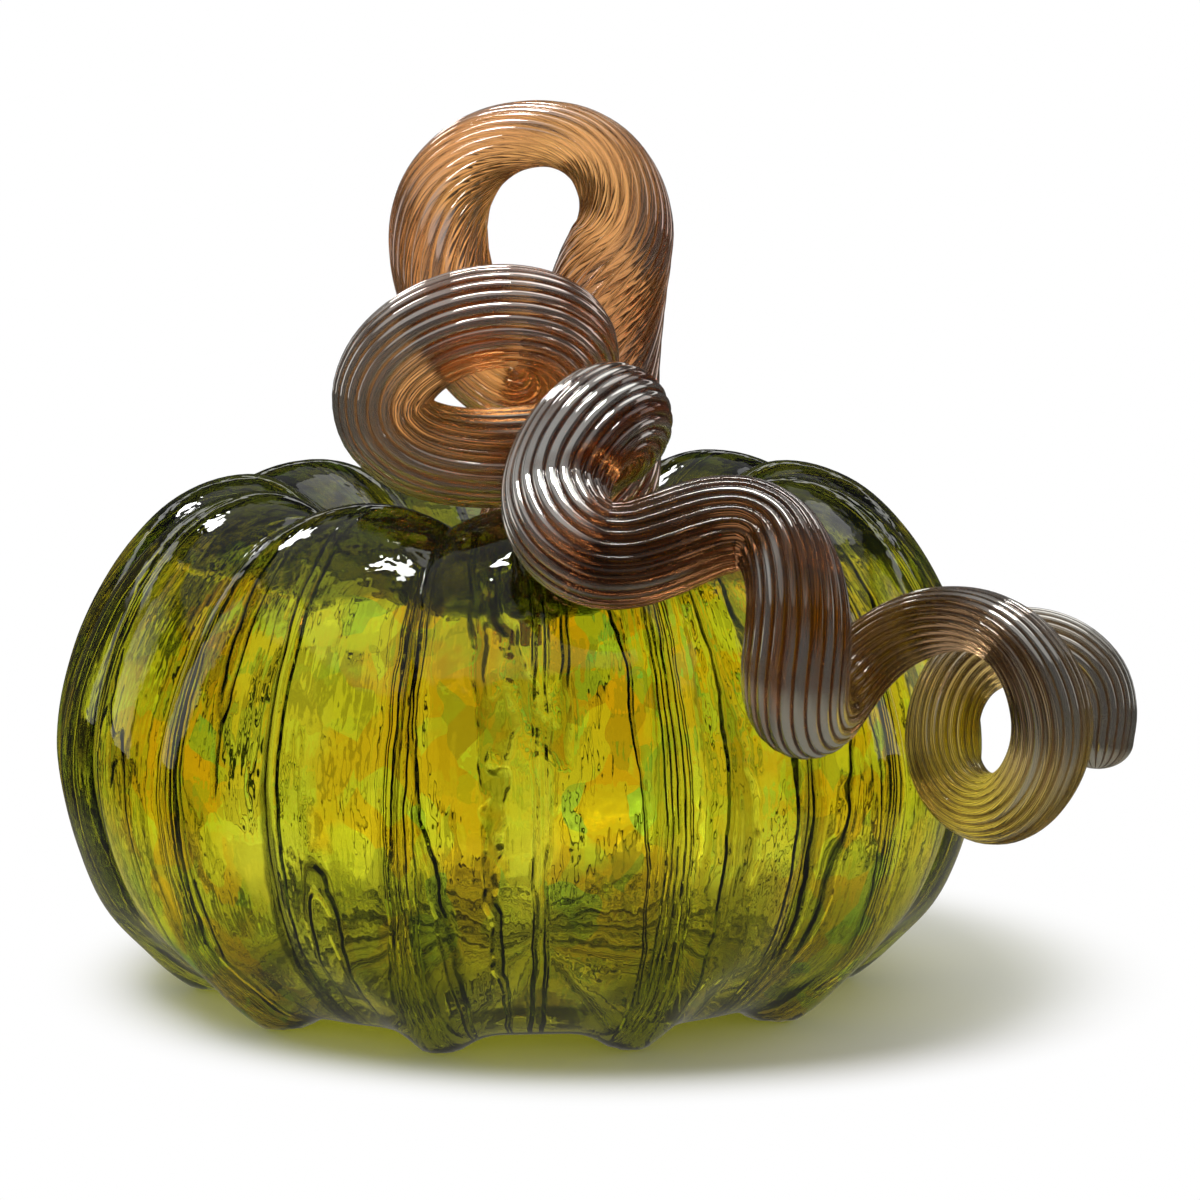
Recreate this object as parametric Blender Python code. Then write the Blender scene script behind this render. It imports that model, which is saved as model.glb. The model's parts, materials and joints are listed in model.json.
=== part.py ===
"""A glass pumpkin: a blown, ribbed hollow body and the ribbed rod of glass coiled on top as its stem."""

import bpy
import numpy as np

# All sizes are in metres, but the stem's route is in millimetres.
MM = 0.001

# Where the body's axis stands, so that the whole piece is centred over the origin
BODY_AXIS_X = -0.00895
BODY_AXIS_Y = 0.00496

# The body: a bubble blown in an eleven-ribbed mould. Over the crown a crease runs down to each foot,
# and lower down the wall is drawn in between the feet instead.
LOBES = 11
GROOVE_TURN = np.radians(3.65)
GROOVE_DEPTH = 0.0055
CREASE_ROUNDNESS = 0.8
INSIDE_SHARE = 0.8
LEAN = 0.0018
CREST_RADIUS = 0.0760
BELLY_HEIGHT = 0.0400
SHOULDER_RADIUS = 0.0430
SHOULDER_HEIGHT = 0.0820
FOOT_RING_RADIUS = 0.0500
FOOT_WIDTH = 0.0056
FOOT_GROUND_OFF = 0.0008
PONTIL_HEIGHT = 0.0045
WALL = 0.0032
COLUMN_PLACES = (0.0, 0.06, 0.16, 0.27, 0.37, 0.44, 0.5, 0.56, 0.63, 0.73, 0.84, 0.94)
OUTER_SPACING = 0.0110
INNER_SPACING = 0.0170

# The neck, where the blowing iron was and the stem now sits
NECK_RADIUS = 0.0070
NECK_SEAT_RADIUS = 0.0145
CROWN_HEIGHT = 0.0640

# The stem: one rod of hot glass drawn out, coiled and left to set
GAP = 0.0003
PLUG_RADIUS = NECK_RADIUS - GAP
PLUG_DEPTH = 0.0080
FLUTES = 24
FLUTE_DEPTH = 0.045
STEM_RINGS = 110
ROOT_RINGS = 6
ROUTE_SAMPLES = 260
ROUTE_SOFTENING = 6
FAST_TWIST_LENGTH = 0.120
FAST_TWIST_PITCH = 0.110
SLOW_TWIST_PITCH = 0.900
TIP_ROUNDING_RINGS = 4
ROOT_SHARE = 0.12
COIL_CLEARANCE = 0.0004

# The rod's centreline from the crown's seat to the tip: x and y from the body's axis, the height above
# the seat, and the rod's radius there, all in millimetres
STEM_ROUTE = [
    # the root, spread over the crown and drawn up into the trunk
    (2.0, 1.0, 0.0, 11.4),
    (3.4, 1.6, 3.1, 12.2),
    (5.6, 2.4, 7.2, 12.9),
    (7.8, 3.3, 12.2, 13.6),
    (9.3, 4.2, 18.3, 13.7),
    (10.3, 5.0, 26.1, 12.6),
    (11.8, 5.5, 34.5, 10.8),
    (13.4, 5.5, 43.4, 9.9),
    (15.2, 5.0, 52.0, 9.1),
    # the tall loop, thinnest at its top
    (17.6, 4.0, 59.2, 7.6),
    (13.2, 2.0, 69.6, 6.0),
    (4.1, 0.0, 73.1, 5.1),
    (-5.9, -2.0, 70.5, 6.1),
    (-12.0, -5.0, 63.0, 7.5),
    (-12.7, -9.0, 54.6, 7.9),
    (-10.1, -12.5, 45.4, 7.8),
    # behind the second loop and round into it
    (-5.0, -14.5, 37.3, 7.7),
    (0.7, -16.0, 33.5, 7.6),
    (6.1, -19.0, 34.1, 7.5),
    (8.8, -25.5, 39.2, 7.5),
    (5.8, -32.0, 44.4, 7.6),
    (-2.2, -35.0, 46.1, 7.8),
    (-12.2, -36.0, 43.5, 7.8),
    (-19.6, -36.0, 37.1, 7.7),
    (-20.6, -35.5, 30.1, 7.4),
    (-15.7, -35.0, 25.9, 7.4),
    (-7.6, -34.5, 24.1, 7.5),
    (1.5, -34.5, 24.4, 7.6),
    # the fold that turns forward and down over the shoulder
    (10.2, -36.0, 25.6, 7.8),
    (15.6, -41.5, 28.8, 7.8),
    (15.9, -49.0, 32.4, 7.8),
    (12.5, -55.0, 32.2, 7.8),
    (8.4, -58.5, 27.9, 7.9),
    (6.1, -61.5, 21.7, 7.9),
    (7.2, -66.0, 16.1, 7.9),
    (11.8, -69.0, 13.0, 7.8),
    # along the shoulder and down in front of the body
    (19.5, -69.0, 14.1, 7.6),
    (27.6, -67.0, 17.4, 7.3),
    (34.8, -66.5, 18.5, 6.7),
    (39.0, -69.5, 15.6, 6.6),
    (41.0, -75.0, 9.2, 7.1),
    (41.0, -77.5, 1.5, 7.8),
    (40.4, -76.5, -5.5, 7.7),
    (43.5, -70.0, -9.4, 6.9),
    # up and over into the last curl
    (49.1, -62.5, -5.1, 5.5),
    (54.4, -61.5, 0.1, 5.1),
    (60.8, -64.5, 3.6, 4.9),
    (67.5, -69.5, 4.5, 4.5),
    (72.8, -74.0, 1.8, 5.0),
    (77.3, -76.0, -6.2, 5.9),
    (77.0, -74.0, -16.0, 5.6),
    (71.6, -68.0, -24.2, 5.2),
    (65.1, -61.5, -22.6, 5.1),
    (63.2, -57.0, -16.3, 5.5),
    (64.3, -54.0, -9.5, 5.2),
    (68.7, -52.0, -3.6, 5.4),
    (75.5, -51.0, -1.8, 5.8),
    (82.6, -51.0, -3.8, 6.0),
    (87.4, -52.0, -9.3, 6.0),
    (86.9, -53.0, -16.1, 5.4),
]


def clear_scene():
    for item in list(bpy.data.objects):
        bpy.data.objects.remove(item, do_unlink=True)


def steps_between(points, spacing):
    """How many steps each stretch between neighbouring points takes, none longer than the spacing."""
    lengths = np.linalg.norm(np.diff(np.asarray(points, float)[:, :2], axis=0), axis=1)
    return np.ceil(lengths / spacing).astype(int)


def smooth_through(points, steps):
    """A smooth curve through the given points, with its own number of steps on each stretch."""
    points = np.asarray(points, float)
    ends = np.vstack([2 * points[0] - points[1], points, 2 * points[-1] - points[-2]])
    curve = []
    for i in range(len(points) - 1):
        a, b, c, d = ends[i:i + 4]
        for t in np.arange(steps[i]) / steps[i]:
            curve.append(0.5 * (2 * b + (c - a) * t + (2 * a - 5 * b + 4 * c - d) * t ** 2
                                + (3 * b - a - 3 * c + d) * t ** 3))
    curve.append(points[-1])
    return np.array(curve)


def evenly(points, count):
    """The same line with its points the same distance apart."""
    walked = np.concatenate([[0], np.cumsum(np.linalg.norm(np.diff(points[:, :3], axis=0), axis=1))])
    marks = np.linspace(0, walked[-1], count)
    return np.stack([np.interp(marks, walked, column) for column in points.T], axis=1)


def softened(points, passes):
    """Hot glass doesn't kink: each pass draws every point a little towards its neighbours."""
    for _ in range(passes):
        points = np.vstack([points[:1], (points[:-2] + 2 * points[1:-1] + points[2:]) / 4, points[-1:]])
    return points


def lobe_profile():
    """Down over a foot: radius, height, the depth drawn in between the feet and that of the crease over
    them, as shares of the groove's, and how narrow the foot's rib is."""
    foot_outer = FOOT_RING_RADIUS + FOOT_WIDTH / 2
    foot_inner = FOOT_RING_RADIUS - FOOT_WIDTH / 2
    return [
        (NECK_SEAT_RADIUS, CROWN_HEIGHT, 0.0, 0.0, 1.0),
        (NECK_SEAT_RADIUS + 0.0060, CROWN_HEIGHT + 0.0026, 0.0, 0.15, 1.0),
        (SHOULDER_RADIUS - 0.0130, SHOULDER_HEIGHT - 0.0078, 0.0, 0.38, 1.0),
        (SHOULDER_RADIUS, SHOULDER_HEIGHT, 0.02, 0.66, 0.8),
        (CREST_RADIUS - 0.0180, SHOULDER_HEIGHT - 0.0045, 0.08, 0.62, 0.8),
        (CREST_RADIUS - 0.0055, BELLY_HEIGHT + 0.0215, 0.16, 0.44, 0.8),
        (CREST_RADIUS, BELLY_HEIGHT, 0.30, 0.25, 0.8),
        (CREST_RADIUS - 0.0056, BELLY_HEIGHT - 0.0225, 0.46, 0.08, 1.6),
        (foot_outer + 0.0082, 0.0056, 0.60, 0.0, 4.5),
        (foot_outer, -FOOT_GROUND_OFF, 0.70, 0.0, 7.0),
        (foot_inner, -FOOT_GROUND_OFF, 0.60, 0.0, 6.0),
        (foot_inner - 0.0062, 0.0022, 0.20, 0.0, 3.0),
        (foot_inner / 2, PONTIL_HEIGHT - 0.0003, 0.0, 0.0, 1.0),
        (0.0, PONTIL_HEIGHT, 0.0, 0.0, 1.0),
    ]


def facing(line):
    """The direction out of the glass along a radius and height line that runs down the outer skin."""
    tangent = np.gradient(line[:, :2], axis=0)
    tangent /= np.linalg.norm(tangent, axis=1, keepdims=True)
    return np.stack([-tangent[:, 1], tangent[:, 0]], axis=1)


def softly(share):
    share = np.clip(share, 0, 1)
    return share * share * (3 - 2 * share)


def lean_at(turn, radius, height):
    """How far the shoulder stands up towards +X, where the bubble slumped a little to one side."""
    side = ((1 + np.sin(turn)) / 2) ** 2
    return LEAN * side * softly((height - 0.040) / 0.035) * softly((radius - 0.018) / 0.020)


def body_grid(steps, inset, share):
    """Rows of points round the body, set in from the outside, with a share of the depth of its form."""
    profile = smooth_through(lobe_profile(), steps)
    out = facing(profile)[:-1, None]
    profile = profile[:-1, None]
    lobes = np.arange(LOBES)[:, None] + np.array(COLUMN_PLACES)
    turn = GROOVE_TURN + 2 * np.pi * lobes.ravel() / LOBES
    wave = LOBES * (turn - GROOVE_TURN) / 2
    between_feet = 1 - np.abs(np.sin(wave)) ** np.maximum(profile[..., 4], 0.8)
    over_feet = 1 - np.abs(np.cos(wave)) ** CREASE_ROUNDNESS
    form = profile[..., 2] * between_feet + profile[..., 3] * over_feet
    line = profile[..., :2] - (inset + share * GROOVE_DEPTH * form)[..., None] * out
    radius = line[..., 0]
    height = line[..., 1] + lean_at(turn, radius, line[..., 1])
    return np.stack([radius * np.sin(turn), -radius * np.cos(turn), height], axis=-1)


def neck_ring(grid, height):
    """The rim of the open neck, with a point for each column of the grid."""
    flat = grid[0] * (NECK_RADIUS / np.linalg.norm(grid[0, :, :2], axis=1).mean())
    flat[:, 2] = height
    return flat[None]


def outer_grid():
    """The outer skin, from the neck's rim over the crown and the belly to the feet, ground flat."""
    grid = body_grid(steps_between(lobe_profile(), OUTER_SPACING), 0.0, 1.0)
    grid[..., 2] = np.maximum(grid[..., 2], 0.0)
    return np.concatenate([neck_ring(grid, CROWN_HEIGHT), grid])


def inner_grid():
    """The bubble inside, one wall's thickness in from the outer skin, with the neck left open."""
    grid = body_grid(steps_between(lobe_profile(), INNER_SPACING), WALL, INSIDE_SHARE)
    return np.concatenate([neck_ring(grid, CROWN_HEIGHT - WALL), grid])


def join_rows(faces, upper, lower, columns):
    """A band of quads between two rows of vertex numbers, facing away from the axis going down."""
    for i in range(columns):
        j = (i + 1) % columns
        faces.append((upper + i, lower + i, lower + j, upper + j))


def make_body():
    outer = outer_grid()
    inner = inner_grid()
    columns = outer.shape[1]
    outer_foot = [0, 0, PONTIL_HEIGHT]
    inner_foot = [0, 0, PONTIL_HEIGHT + WALL]
    points = np.concatenate([outer.reshape(-1, 3), inner.reshape(-1, 3), [outer_foot, inner_foot]])
    faces = []
    for row in range(len(outer) - 1):
        join_rows(faces, row * columns, (row + 1) * columns, columns)
    first = len(outer) * columns
    for row in range(len(inner) - 1):
        join_rows(faces, first + (row + 1) * columns, first + row * columns, columns)
    join_rows(faces, first, 0, columns)
    outer_last = (len(outer) - 1) * columns
    inner_last = first + (len(inner) - 1) * columns
    for i in range(columns):
        j = (i + 1) % columns
        faces.append((outer_last + i, len(points) - 2, outer_last + j))
        faces.append((inner_last + j, len(points) - 1, inner_last + i))
    return points, faces


def twist_at(walked):
    """How far the flutes have turned round the rod: fast round the tall loop, slowly after it."""
    fast = np.minimum(walked, FAST_TWIST_LENGTH) / FAST_TWIST_PITCH
    slow = np.maximum(walked - FAST_TWIST_LENGTH, 0) / SLOW_TWIST_PITCH
    return 2 * np.pi * (fast + slow)


def carried_frames(centres):
    """At each centre, two directions square to the route, carried along it without turning."""
    tangents = np.gradient(centres, axis=0)
    tangents /= np.linalg.norm(tangents, axis=1, keepdims=True)
    tangents[:ROOT_RINGS] *= np.linspace(0, 1, ROOT_RINGS)[:, None]
    tangents[:ROOT_RINGS, 2] += np.linspace(1, 0, ROOT_RINGS)
    tangents /= np.linalg.norm(tangents, axis=1, keepdims=True)
    side = np.array([1.0, 0.0, 0.0])
    sides = []
    for tangent in tangents:
        side = side - tangent * np.dot(side, tangent)
        side /= np.linalg.norm(side)
        sides.append(side)
    sides = np.array(sides)
    return sides, np.cross(tangents, sides)


def ring(centre, side, other, radius, depth, turn):
    """One ring of the rod, its points alternately on a rib and in a flute."""
    angle = turn + np.pi * np.arange(2 * FLUTES) / FLUTES
    reach = radius + depth * np.where(np.arange(2 * FLUTES) % 2 == 0, 1, -1)
    return centre + reach[:, None] * (np.cos(angle)[:, None] * side + np.sin(angle)[:, None] * other)


def clear_of_body(route):
    """Past the root, the rod is nowhere nearer to the body's lobes than its clearance."""
    lobe = smooth_through(lobe_profile(), np.full(len(lobe_profile()), 12))
    out = facing(lobe)
    route = route.copy()
    root_end = int(ROUTE_SAMPLES * ROOT_SHARE)
    for point in route[root_end:]:
        around = np.hypot(point[0], point[1])
        lean = lean_at(np.arctan2(point[0], -point[1]), around, point[2])
        place = np.array([around, point[2] - lean])
        nearest = np.argmin(np.linalg.norm(lobe[:, :2] - place, axis=1))
        reach = np.dot(place - lobe[nearest, :2], out[nearest])
        short = point[3] * (1 + FLUTE_DEPTH) + COIL_CLEARANCE - reach
        if short > 0:
            place += out[nearest] * short
            point[:2] *= place[0] / around
            point[2] = place[1] + lean
    return route


def stem_route():
    """The rod's centreline and radius, in metres, from the crown's seat to the start of the tip."""
    points = np.array(STEM_ROUTE) * MM
    points[:, 2] += CROWN_HEIGHT + GAP
    route = evenly(smooth_through(points, np.full(len(points), 24)), ROUTE_SAMPLES)
    route = clear_of_body(softened(route, ROUTE_SOFTENING))
    return evenly(softened(route, 1), STEM_RINGS)


def make_stem():
    route = stem_route()
    centres = route[:, :3]
    sides, others = carried_frames(centres)
    walked = np.concatenate([[0], np.cumsum(np.linalg.norm(np.diff(centres, axis=0), axis=1))])
    across = np.array([1.0, 0.0, 0.0])
    away = np.array([0.0, 1.0, 0.0])
    plug_foot = np.array([0.0, 0.0, CROWN_HEIGHT - PLUG_DEPTH])
    plug_top = np.array([0.0, 0.0, CROWN_HEIGHT + GAP])
    rings = [
        ring(plug_foot, across, away, PLUG_RADIUS * 0.85, 0, 0),
        ring(plug_foot + (0, 0, 0.0012), across, away, PLUG_RADIUS, 0, 0),
        ring(plug_top, across, away, PLUG_RADIUS, 0, 0),
    ]
    for i, (centre, radius) in enumerate(zip(centres, route[:, 3])):
        depth = radius * FLUTE_DEPTH * min(1, i / 4)
        rings.append(ring(centre, sides[i], others[i], radius, depth, twist_at(walked[i])))
    end = centres[-1]
    onward = np.cross(sides[-1], others[-1])
    end_radius = route[-1, 3]
    for k in range(1, TIP_ROUNDING_RINGS):
        lift = np.pi / 2 * k / TIP_ROUNDING_RINGS
        radius = end_radius * np.cos(lift)
        centre = end + onward * end_radius * 0.8 * np.sin(lift)
        rings.append(ring(centre, sides[-1], others[-1], radius, radius * FLUTE_DEPTH, twist_at(walked[-1])))
    tip = end + onward * end_radius * 0.8
    points = np.concatenate(rings + [[plug_foot, tip]])
    columns = 2 * FLUTES
    faces = []
    for row in range(len(rings) - 1):
        for i in range(columns):
            j = (i + 1) % columns
            faces.append((row * columns + i, row * columns + j, (row + 1) * columns + j, (row + 1) * columns + i))
    last = (len(rings) - 1) * columns
    for i in range(columns):
        j = (i + 1) % columns
        faces.append((len(points) - 2, j, i))
        faces.append((last + i, last + j, len(points) - 1))
    return points, faces


def glass(name, colour, roughness, transmission):
    material = bpy.data.materials.new(name)
    material.use_nodes = True
    shader = material.node_tree.nodes["Principled BSDF"]
    shader.inputs["Base Color"].default_value = (*colour, 1)
    shader.inputs["Roughness"].default_value = roughness
    shader.inputs["Metallic"].default_value = 0.0
    shader.inputs["IOR"].default_value = 1.5
    shader.inputs["Transmission Weight"].default_value = transmission
    return material


def add_object(name, shape, material):
    points, faces = shape
    mesh = bpy.data.meshes.new(name)
    mesh.from_pydata((points + (BODY_AXIS_X, BODY_AXIS_Y, 0)).tolist(), [], faces)
    mesh.shade_smooth()
    mesh.set_sharp_from_angle(angle=np.radians(50))
    mesh.materials.append(material)
    item = bpy.data.objects.new(name, mesh)
    bpy.context.scene.collection.objects.link(item)
    return item


clear_scene()
add_object("body_shell", make_body(), glass("olive_glass", (0.36, 0.40, 0.03), 0.03, 0.9))
add_object("stem", make_stem(), glass("amber_glass", (0.36, 0.17, 0.06), 0.08, 0.8))
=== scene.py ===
# %% [markdown]
# A blown glass pumpkin. The real object is two pieces of hot glass: a hollow body, blown in a mould
# with eleven ribs, and a solid fluted rod that was set on the crown and coiled while it was soft.
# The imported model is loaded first, as a fixed frame: every piece made below sits where it says.

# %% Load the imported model
import json
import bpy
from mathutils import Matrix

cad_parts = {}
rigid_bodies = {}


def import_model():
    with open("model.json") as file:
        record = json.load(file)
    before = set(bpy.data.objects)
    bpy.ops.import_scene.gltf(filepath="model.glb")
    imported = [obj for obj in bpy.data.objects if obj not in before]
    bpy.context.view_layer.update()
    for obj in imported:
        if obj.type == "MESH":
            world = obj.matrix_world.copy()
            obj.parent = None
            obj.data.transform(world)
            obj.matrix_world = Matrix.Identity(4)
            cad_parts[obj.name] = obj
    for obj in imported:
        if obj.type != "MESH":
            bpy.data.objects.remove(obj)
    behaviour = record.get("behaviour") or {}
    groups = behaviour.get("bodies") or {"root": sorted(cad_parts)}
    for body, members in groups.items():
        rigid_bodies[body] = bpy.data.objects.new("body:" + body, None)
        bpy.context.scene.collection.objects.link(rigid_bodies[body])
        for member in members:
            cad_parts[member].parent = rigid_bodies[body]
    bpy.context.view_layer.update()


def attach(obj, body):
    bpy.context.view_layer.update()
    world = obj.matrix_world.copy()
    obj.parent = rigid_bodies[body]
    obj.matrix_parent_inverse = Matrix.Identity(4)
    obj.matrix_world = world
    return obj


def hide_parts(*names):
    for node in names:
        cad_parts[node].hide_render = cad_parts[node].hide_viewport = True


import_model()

from types import SimpleNamespace

import bpy
import numpy as np
from mathutils import Vector

scene = bpy.context.scene

# %% [markdown]
# The camera stands 0.6 m in front of the object, a little above it, and looks 8 degrees down
# through a long lens, as one does for a small thing on a table: near and far parts then keep
# their sizes. The picture is square, so one length of lens serves both ways.

# %% Set the camera
CAMERA_PLACE = (0.00398, -0.58920, 0.14529)
CAMERA_TILT = np.radians(82)
SENSOR = 36.0
LENS = 110.7

camera = bpy.data.objects.new("camera", bpy.data.cameras.new("camera"))
camera.location = CAMERA_PLACE
camera.rotation_euler = (CAMERA_TILT, 0, 0)
camera.data.sensor_width = SENSOR
camera.data.lens = LENS
camera.data.clip_start = 0.05
camera.data.clip_end = 20.0
scene.collection.objects.link(camera)
scene.camera = camera
print("camera at", tuple(round(c, 3) for c in camera.location))

# %% [markdown]
# Glass has no look of its own: it shows what stands round it. So the room, the paper and the
# glass are all worked out by shader nodes. Linking nodes by hand takes many lines. The helpers
# below each make a node or two and return what comes out, so that a formula stays one line.

# %% Helpers for shader nodes
def wire(tree, kind, values=None, **settings):
    """A new node: settings are its own properties, and values go to its sockets, by number or name."""
    node = tree.nodes.new(kind)
    for name, value in settings.items():
        setattr(node, name, value)
    for socket, value in (values or {}).items():
        if isinstance(value, bpy.types.NodeSocket):
            tree.links.new(value, node.inputs[socket])
        else:
            node.inputs[socket].default_value = value
    return node


def reckon(tree, operation, a, b=0.0, c=0.0):
    """One step of arithmetic on numbers or sockets."""
    return wire(tree, "ShaderNodeMath", {0: a, 1: b, 2: c}, operation=operation).outputs[0]


def product(tree, first, *others):
    """All the values multiplied."""
    for other in others:
        first = reckon(tree, "MULTIPLY", first, other)
    return first


def most(tree, first, *others):
    """The highest of the values."""
    for other in others:
        first = reckon(tree, "MAXIMUM", first, other)
    return first


def vector(tree, operation, a, b=None):
    """One step of arithmetic on vectors. A length or a distance comes out as a number."""
    values = {0: a}
    if b is not None:
        values[3 if operation == "SCALE" else 1] = b
    node = wire(tree, "ShaderNodeVectorMath", values, operation=operation)
    return node.outputs["Value" if operation in ("LENGTH", "DISTANCE") else "Vector"]


def ease(tree, value, start, end, low=0.0, high=1.0):
    """Low up to start, high from end on, and smooth between them."""
    return wire(tree, "ShaderNodeMapRange", {0: value, 1: start, 2: end, 3: low, 4: high},
                interpolation_type="SMOOTHSTEP").outputs[0]


def between(tree, value, start, end, soft):
    """1 between start and end, and 0 outside them, with soft edges."""
    rise = ease(tree, value, start, start + soft)
    return product(tree, rise, ease(tree, value, end - soft, end, 1.0, 0.0))


def mix(tree, share, first, second):
    """Two levels mixed: the second takes the given share."""
    return wire(tree, "ShaderNodeMix", {0: share, 2: first, 3: second}, data_type="FLOAT").outputs[0]


def parts_of(tree, where):
    """The X, Y and Z of a vector."""
    return wire(tree, "ShaderNodeSeparateXYZ", {0: where}).outputs


def rays(tree):
    """1 or 0 for what asks: the camera, a mirrored ray, and a ray that glass mirrored or let through."""
    path = wire(tree, "ShaderNodeLightPath").outputs
    mirrored = reckon(tree, "SUBTRACT", path["Is Glossy Ray"], path["Is Transmission Ray"])
    by_glass = most(tree, path["Is Glossy Ray"], path["Is Transmission Ray"])
    return path["Is Camera Ray"], most(tree, mirrored, 0.0), by_glass


print("shader helpers ready")

# %% [markdown]
# The world is the photographer's room, painted by direction. Seen through the glass, it is a white
# sweep behind the object, a dim gap at each side and white walls beyond: the gaps put the dark
# lines and the deep green into the rims. What the glass mirrors is chosen apart from that, by the
# kind of ray: a pale ceiling, a low strip, two side screens and one small bright pane give crisp
# glints on dark glass. Dull things such as paper take one plain level, brighter from behind. A
# picture of a studio could be wrapped round instead, but its parts couldn't be set one by one.

# %% Light the room
SKYLIGHT_WAY = (0.37, 0.38, 0.848)
PANE_WAY = (-0.42, 0.66, 0.62)


def room_through_glass(tree, height, aside, skylight):
    """The level of the room, by height and angle from straight behind, for rays let through."""
    sweep = product(tree, ease(tree, aside, 0.22, 0.40, 1.0, 0.0),
                    ease(tree, height, 0.40, 0.66, 1.0, 0.0))
    walls = product(tree, ease(tree, aside, 0.72, 0.80), ease(tree, aside, 1.60, 1.90, 1.0, 0.0),
                    ease(tree, height, 0.40, 0.62, 1.0, 0.0))
    gloom = ease(tree, height, 0.15, 0.80, 0.05, 0.03)
    return reckon(tree, "ADD", most(tree, sweep, walls, skylight), gloom)


def room_in_mirror(tree, way, height, aside, skylight):
    """The level of the room for rays that the glass throws back."""
    screens = product(tree, between(tree, aside, 1.00, 1.40, 0.04),
                      ease(tree, height, 0.30, 0.62, 0.75, 0.0))
    strip = product(tree, between(tree, height, 0.27, 0.36, 0.02),
                    ease(tree, aside, 0.8, 1.0, 0.9, 0.0))
    ceiling = ease(tree, height, 0.58, 0.64, 0.0, 0.32)
    pane = ease(tree, vector(tree, "DISTANCE", way, PANE_WAY), 0.09, 0.10, 14.0, 0.0)
    return reckon(tree, "ADD", most(tree, screens, ceiling, strip, pane, skylight), 0.03)


def light_room():
    world = bpy.data.worlds.new("studio")
    scene.world = world
    world.use_nodes = True
    tree = world.node_tree
    tree.nodes.clear()
    way = wire(tree, "ShaderNodeTexCoord").outputs["Generated"]
    right, behind, height = parts_of(tree, way)
    aside = reckon(tree, "ABSOLUTE", reckon(tree, "ARCTAN2", right, behind))
    skylight = ease(tree, vector(tree, "DISTANCE", way, SKYLIGHT_WAY), 0.28, 0.32, 1.5, 0.0)
    camera_ray, mirrored, by_glass = rays(tree)
    room = mix(tree, mirrored, room_through_glass(tree, height, aside, skylight),
               room_in_mirror(tree, way, height, aside, skylight))
    plain = ease(tree, behind, -0.7, 0.3, 0.26, 1.0)
    level = most(tree, mix(tree, by_glass, plain, room), camera_ray)
    paint = wire(tree, "ShaderNodeBackground", {"Color": (1, 1, 1, 1), "Strength": level})
    wire(tree, "ShaderNodeOutputWorld", {"Surface": paint.outputs[0]})
    print("room:", len(tree.nodes), "nodes")


light_room()

# %% [markdown]
# Three flat lamps hang over the table, as a photographer's softboxes do. The large one draws the
# shadow on the paper. Glass doesn't mirror it, since its big square would lie over the dark crown
# like a veil. The two small panes do the opposite: they light no paper and only stand in the
# glass, where the dented skin breaks them into small white glints.

# %% Hang the lamps
LAMP_AIM = (0, 0, 0.03)


def hang_lamp(name, place, wide, deep, level):
    """A flat lamp of the given size and brightness, turned to face the object."""
    data = bpy.data.lights.new(name, "AREA")
    data.shape = "RECTANGLE"
    data.size = wide
    data.size_y = deep
    data.energy = level * np.pi * wide * deep
    lamp = bpy.data.objects.new(name, data)
    lamp.location = place
    towards = Vector(LAMP_AIM) - Vector(place)
    lamp.rotation_euler = towards.to_track_quat("-Z", "Y").to_euler()
    scene.collection.objects.link(lamp)
    return lamp


softbox = hang_lamp("softbox", (-0.27, -0.06, 0.83), 0.52, 0.52, 4.8)
softbox.visible_glossy = False
for pane in (hang_lamp("narrow_pane", (-0.12, -0.08, 0.88), 0.05, 0.20, 36.0),
             hang_lamp("wide_pane", (0.06, -0.08, 0.88), 0.16, 0.20, 22.0)):
    pane.visible_diffuse = False

# %% [markdown]
# The floor is a wide white sheet. Under the object it is matt paper, which takes the shadow. For
# the camera it turns plain white past an oval round the object, so that no grey haze and no edge
# shows. Seen through glass it turns white a little further out, and dims again at the sides and
# in front. Mirrored in the glass it is a dim cream, which keeps the undersides of the lobes dark.
# A plain white material would be simpler, but it would go grey wherever the lamps don't reach.

# %% Lay the floor
FLOOR_SIZE = 4.0
FLOOR_DROP = 0.0002
SHADOW_MIDDLE = (0.005, 0.010, 0.0)
SHADOW_REACH = (0.083, 0.076, 1.0)


def new_material(name):
    """An empty material and its tree of nodes."""
    material = bpy.data.materials.new(name)
    material.use_nodes = True
    material.node_tree.nodes.clear()
    return material, material.node_tree


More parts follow.
